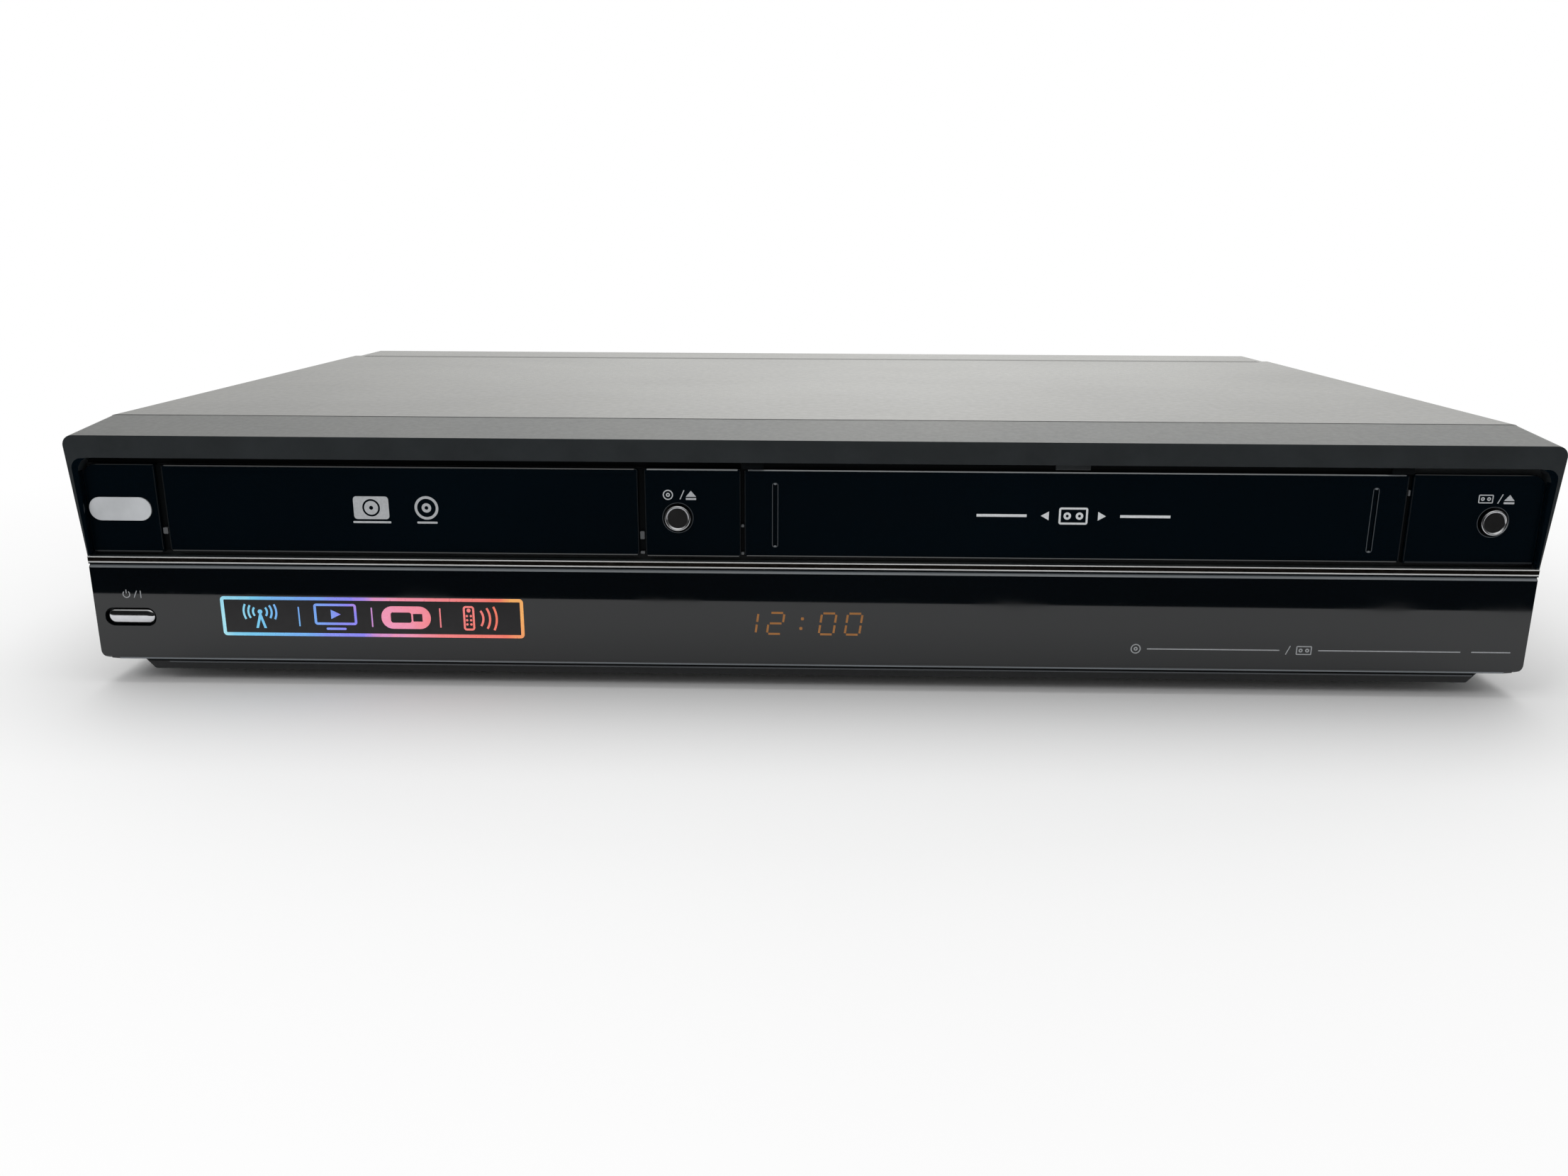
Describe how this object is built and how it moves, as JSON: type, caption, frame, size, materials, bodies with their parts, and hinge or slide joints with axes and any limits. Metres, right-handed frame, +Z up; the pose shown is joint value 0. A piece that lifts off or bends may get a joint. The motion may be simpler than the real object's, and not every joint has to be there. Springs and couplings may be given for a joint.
{
  "type": "disc and cassette player",
  "caption": "Slim black home player with a disc tray on the left, a wide cassette slot on the right, a lit clock display and push buttons under a sloping top.",
  "frame": {"origin": "centre of the bounding box's footprint, on the plane the feet stand on", "axes": "+Z up, the front faces -Y, +X to the right seen from the front"},
  "size_m": [0.43, 0.272, 0.0785],
  "materials": {
    "chassis_zinc": "zinc-plated sheet",
    "panel_zinc": "zinc-plated sheet",
    "cover_paint": "satin black",
    "screw_steel": "blackened",
    "foot_rubber": "matte",
    "bezel_plastic": "fine texture",
    "panel_gloss": "piano black",
    "fascia_gloss": "smoked gloss",
    "trim_chrome": "polished",
    "plinth_plastic": "fine texture",
    "button_chrome": "polished",
    "board_green": "solder mask",
    "board_brown": "paper laminate",
    "display_dark": "dark window",
    "switch_plastic": "moulded",
    "chip_epoxy": "moulded",
    "transformer_tape": "wound tape",
    "capacitor_can": "sleeved can",
    "sink_aluminium": "extruded",
    "socket_plastic": "moulded",
    "socket_metal": "tin plated",
    "drive_plastic": "moulded",
    "sheet_steel": "zinc-plated sheet",
    "motor_steel": "turned",
    "gear_nylon": "natural",
    "traverse_plastic": "moulded",
    "shaft_steel": "ground",
    "turntable_plastic": "moulded",
    "drum_aluminium": "turned",
    "head_steel": "ground",
    "roller_rubber": "matte"
  },
  "bodies": {
    "case": {"bottom_chassis": "chassis_zinc", "rear_panel": "panel_zinc", "top_cover": "cover_paint", "case_screws": "screw_steel", "rubber_feet": "foot_rubber", "front_bezel": "bezel_plastic", "badge_panel": "panel_gloss", "button_panels": "panel_gloss", "lower_fascia": "fascia_gloss", "trim_strip": "trim_chrome", "base_plinth": "plinth_plastic", "front_board": "board_green", "display_module": "display_dark", "tact_switches": "switch_plastic", "main_board": "board_green", "board_chips": "chip_epoxy", "power_board": "board_brown", "power_transformer": "transformer_tape", "power_capacitors": "capacitor_can", "heat_sink": "sink_aluminium", "scart_sockets": "socket_plastic", "av_jacks": "socket_plastic", "hdmi_socket": "socket_metal", "aerial_tuner": "socket_metal", "mains_inlet": "socket_plastic", "fan_frame": "socket_plastic", "drive_base": "drive_plastic", "drive_bridge": "sheet_steel", "loading_motor": "motor_steel", "deck_plate": "sheet_steel", "carriage_guides": "sheet_steel", "lower_drum": "drum_aluminium", "tape_heads": "head_steel", "guide_posts": "shaft_steel"},
    "tray": {"dvd_tray": "drive_plastic", "dvd_door": "panel_gloss"},
    "loading_gear": {"loading_gear": "gear_nylon"},
    "motor_pinion": {"motor_pinion": "gear_nylon"},
    "cam_slider": {"cam_slider": "gear_nylon"},
    "traverse": {"traverse_frame": "traverse_plastic", "sled_rails": "shaft_steel", "spindle_motor": "motor_steel"},
    "turntable": {"disc_turntable": "turntable_plastic"},
    "clamp": {"disc_clamp": "drive_plastic"},
    "pickup": {"pickup_sled": "traverse_plastic"},
    "vcr_door": {"vcr_door": "panel_gloss"},
    "carriage": {"carriage_arms": "sheet_steel"},
    "basket": {"cassette_basket": "sheet_steel"},
    "upper_drum": {"upper_drum": "drum_aluminium"},
    "capstan": {"capstan": "shaft_steel"},
    "pinch_arm": {"pinch_arm": "shaft_steel"},
    "pinch_roller": {"pinch_roller": "roller_rubber"},
    "reel_left": {"reel_table_left": "gear_nylon"},
    "reel_right": {"reel_table_right": "gear_nylon"},
    "post_left": {"loading_post_left": "shaft_steel"},
    "post_right": {"loading_post_right": "shaft_steel"},
    "power_button": {"power_button": "button_chrome"},
    "disc_eject_button": {"disc_eject_button": "button_chrome"},
    "tape_eject_button": {"tape_eject_button": "button_chrome"},
    "fan_rotor": {"fan_rotor": "socket_plastic"}
  },
  "joints": [
    {"name": "tray_slide", "type": "slide", "parent": "case", "child": "tray", "axis": [0, -1, 0], "range_m": [0, 0.13]},
    {"name": "loading_gear_spin", "type": "hinge", "parent": "case", "child": "loading_gear", "pos_m": [-0.16555, -0.109, 0.043], "axis": [0, 0, 1], "range_deg": [-1, 932]},
    {"name": "motor_pinion_spin", "type": "hinge", "parent": "case", "child": "motor_pinion", "pos_m": [-0.14715, -0.109, 0.041], "axis": [0, 0, 1], "range_deg": [-2640, 1]},
    {"name": "traverse_tilt", "type": "hinge", "parent": "case", "child": "traverse", "pos_m": [-0.11855, 0.038, 0.041], "axis": [1, 0, 0], "range_deg": [0, 4.5]},
    {"name": "cam_slide", "type": "slide", "parent": "case", "child": "cam_slider", "axis": [1, 0, 0], "range_m": [0, 0.0181]},
    {"name": "disc_spin", "type": "hinge", "parent": "traverse", "child": "turntable", "pos_m": [-0.11855, -0.066, 0.05], "axis": [0, 0, 1], "continuous": true},
    {"name": "clamp_spin", "type": "hinge", "parent": "case", "child": "clamp", "pos_m": [-0.11855, -0.066, 0.062], "axis": [0, 0, 1], "continuous": true},
    {"name": "sled_slide", "type": "slide", "parent": "traverse", "child": "pickup", "axis": [0, 1, 0], "range_m": [0, 0.034]},
    {"name": "vcr_door_hinge", "type": "hinge", "parent": "case", "child": "vcr_door", "pos_m": [0.0773, -0.1326, 0.0684], "axis": [1, 0, 0], "range_deg": [0, 90], "stiffness_Nm_per_rad": 0.002, "springref_deg": -17.19},
    {"name": "carriage_slide", "type": "slide", "parent": "case", "child": "carriage", "axis": [0, 1, 0], "range_m": [0, 0.07]},
    {"name": "basket_drop", "type": "slide", "parent": "carriage", "child": "basket", "axis": [0, 0, -1], "range_m": [0, 0.018]},
    {"name": "drum_spin", "type": "hinge", "parent": "case", "child": "upper_drum", "pos_m": [0.0653, 0.052, 0.025], "axis": [0, -0.1045, 0.9945], "continuous": true},
    {"name": "capstan_spin", "type": "hinge", "parent": "case", "child": "capstan", "pos_m": [0.1153, 0.024, 0.03], "axis": [0, 0, 1], "continuous": true},
    {"name": "pinch_swing", "type": "hinge", "parent": "case", "child": "pinch_arm", "pos_m": [0.1393, 0.042, 0.03], "axis": [0, 0, -1], "range_deg": [0, 23]},
    {"name": "pinch_roller_spin", "type": "hinge", "parent": "pinch_arm", "child": "pinch_roller", "pos_m": [0.1327, 0.0173, 0.039], "axis": [0, 0, 1], "continuous": true},
    {"name": "reel_left_spin", "type": "hinge", "parent": "case", "child": "reel_left", "pos_m": [0.0323, -0.045, 0.026], "axis": [0, 0, 1], "continuous": true},
    {"name": "reel_right_spin", "type": "hinge", "parent": "case", "child": "reel_right", "pos_m": [0.1223, -0.045, 0.026], "axis": [0, 0, 1], "continuous": true},
    {"name": "post_left_swing", "type": "hinge", "parent": "case", "child": "post_left", "pos_m": [0.0653, 0.052, 0.03], "axis": [0, 0, -1], "range_deg": [0, 100]},
    {"name": "post_right_swing", "type": "hinge", "parent": "case", "child": "post_right", "pos_m": [0.0653, 0.052, 0.03], "axis": [0, 0, 1], "range_deg": [0, 100]},
    {"name": "power_press", "type": "slide", "parent": "case", "child": "power_button", "axis": [0, 1, 0], "range_m": [0, 0.0008], "stiffness_N_per_m": 300, "springref_m": -0.001},
    {"name": "disc_eject_press", "type": "slide", "parent": "case", "child": "disc_eject_button", "axis": [0, 1, 0], "range_m": [0, 0.0008], "stiffness_N_per_m": 300, "springref_m": -0.001},
    {"name": "tape_eject_press", "type": "slide", "parent": "case", "child": "tape_eject_button", "axis": [0, 1, 0], "range_m": [0, 0.0008], "stiffness_N_per_m": 300, "springref_m": -0.001},
    {"name": "fan_spin", "type": "hinge", "parent": "case", "child": "fan_rotor", "pos_m": [-0.092, 0.12, 0.05], "axis": [0, 1, 0], "continuous": true}
  ],
  "couplings": [
    {"joint": "loading_gear_spin", "follows": "tray_slide", "rad_per_m": 125},
    {"joint": "motor_pinion_spin", "follows": "tray_slide", "rad_per_m": -354.17},
    {"joint": "cam_slide", "follows": "traverse_tilt", "m_per_rad": 0.22918},
    {"joint": "clamp_spin", "follows": "disc_spin", "ratio": 1},
    {"joint": "post_right_swing", "follows": "post_left_swing", "ratio": 1}
  ]
}
